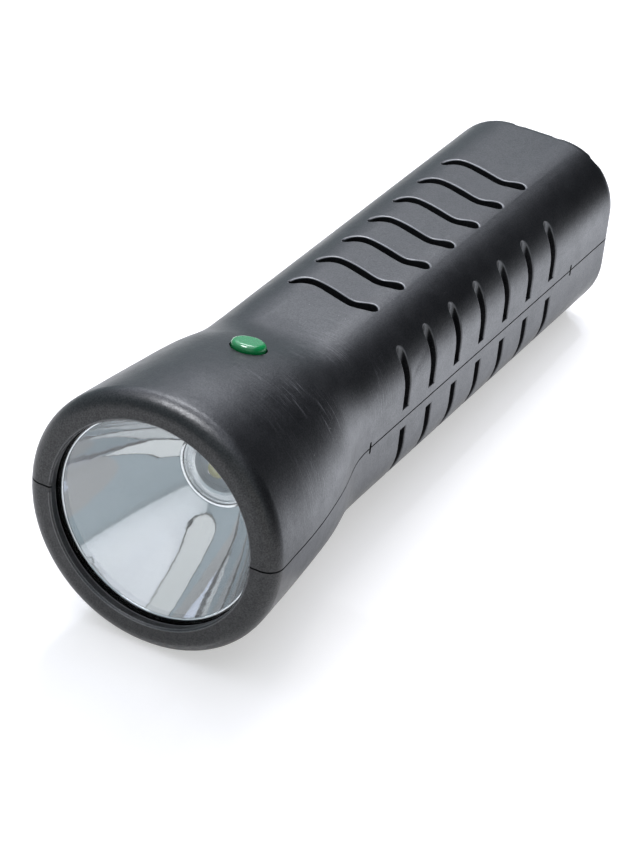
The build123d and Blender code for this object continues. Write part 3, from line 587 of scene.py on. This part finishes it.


# the glow is dimmer close beside the grip (the X grade above) and towards the head: painted shade that the torch casts
# on the table
near_head = graded(t, sep.outputs["Y"], -0.045, 0.02, 0.45, 1.0)
far = graded(t, sep.outputs["Y"], 0.11, 0.24, 1.0, 0.2)
aside = graded(t, sep.outputs["X"], 0.06, 0.15, 1.0, 0.24)
t.links.new(times(t, times(t, grade.outputs["Result"], near_head), times(t, far, aside)), e.inputs["Strength"])
slope = (-0.0190 + 0.0259) / (0.0741 + 0.0738)
panel("table_glow", [(x, y, -0.0259 + slope * (y + 0.0738) + 0.0004)
                     for x, y in ((0.020, -0.045), (0.30, -0.045), (0.30, 0.50), (0.020, 0.50))], strip, True)


def toward(az, el, distance):
    """The point at that azimuth (from straight ahead of the lens, + to the torch's left) and elevation, seen from the lens."""
    a, b = math.radians(az), math.radians(el)
    return (distance * math.sin(a), -HALF - distance * math.cos(a), distance * math.tan(b))


# a white card that stands in front of the head, and dark sheets painted in as the shadow under it
card, *_ = glow("card_white", 1.08, (0.99, 1.0, 0.99))
panel("card", [toward(11.5, -9.0, 0.155), toward(56, -10.5, 0.17), toward(57, 25.5, 0.17), toward(38, 24.5, 0.155), toward(19.5, 21.5, 0.155)], card, True)
card_shade, *_ = glow("card_shadow_sheet", 0.06, (0.9, 1.0, 1.0))
# painted shadow: dark glossy-only sheets stand in for the shade beneath and round the card
panel("card_line", [toward(11.5, -6.2, 0.1536), toward(24, -8.3, 0.1536), toward(54, -8.9, 0.1655), toward(54, -9.6, 0.1655), toward(11.5, -9.4, 0.1536)], card_shade, True)
panel("card_back", [toward(10.5, -9.9, 0.158), toward(57, -11.4, 0.173), toward(58.2, 26.6, 0.173), toward(38, 25.6, 0.158), toward(18.5, 22.7, 0.158)], card_shade, True)

world = bpy.data.worlds.new("world")
world.use_nodes = True
t = world.node_tree
t.nodes.clear()
coord = t.nodes.new("ShaderNodeTexCoord")
sep = t.nodes.new("ShaderNodeSeparateXYZ")
t.links.new(coord.outputs["Generated"], sep.inputs[0])


def wmath(op, a, b=0.0):
    n = t.nodes.new("ShaderNodeMath")
    n.operation = op
    for i, v in enumerate((a, b)):
        if isinstance(v, (int, float)):
            n.inputs[i].default_value = v
        else:
            t.links.new(v, n.inputs[i])
    return n.outputs[0]


def wmap(value, lo, hi, to_lo, to_hi, smooth=True):
    n = t.nodes.new("ShaderNodeMapRange")
    n.interpolation_type = "SMOOTHSTEP" if smooth else "LINEAR"
    for key, v in zip(("From Min", "From Max", "To Min", "To Max"), (lo, hi, to_lo, to_hi)):
        n.inputs[key].default_value = v
    t.links.new(value, n.inputs["Value"])
    return n.outputs["Result"]


# the room: blue-grey walls in front and to the left, unlit behind on the right
behind = wmath("ADD", wmath("MULTIPLY", sep.outputs["X"], 0.77), wmath("MULTIPLY", sep.outputs["Y"], 0.64))
level = wmath("MULTIPLY", wmap(behind, 0.30, 0.62, 1.0, 0.04), wmap(sep.outputs["Z"], -0.08, 0.12, 0.72, 1.0))
room = t.nodes.new("ShaderNodeBackground")
room.inputs["Color"].default_value = (0.44, 0.53, 0.575, 1)
t.links.new(level, room.inputs["Strength"])
bright = t.nodes.new("ShaderNodeBackground")
bright.inputs["Color"].default_value = (1, 1, 1, 1)
bright.inputs["Strength"].default_value = 1.0
seen = t.nodes.new("ShaderNodeLightPath")
pick = t.nodes.new("ShaderNodeMixShader")
out = t.nodes.new("ShaderNodeOutputWorld")
t.links.new(seen.outputs["Is Camera Ray"], pick.inputs[0])
t.links.new(room.outputs[0], pick.inputs[1])
t.links.new(bright.outputs[0], pick.inputs[2])
t.links.new(pick.outputs[0], out.inputs[0])
scene.world = world
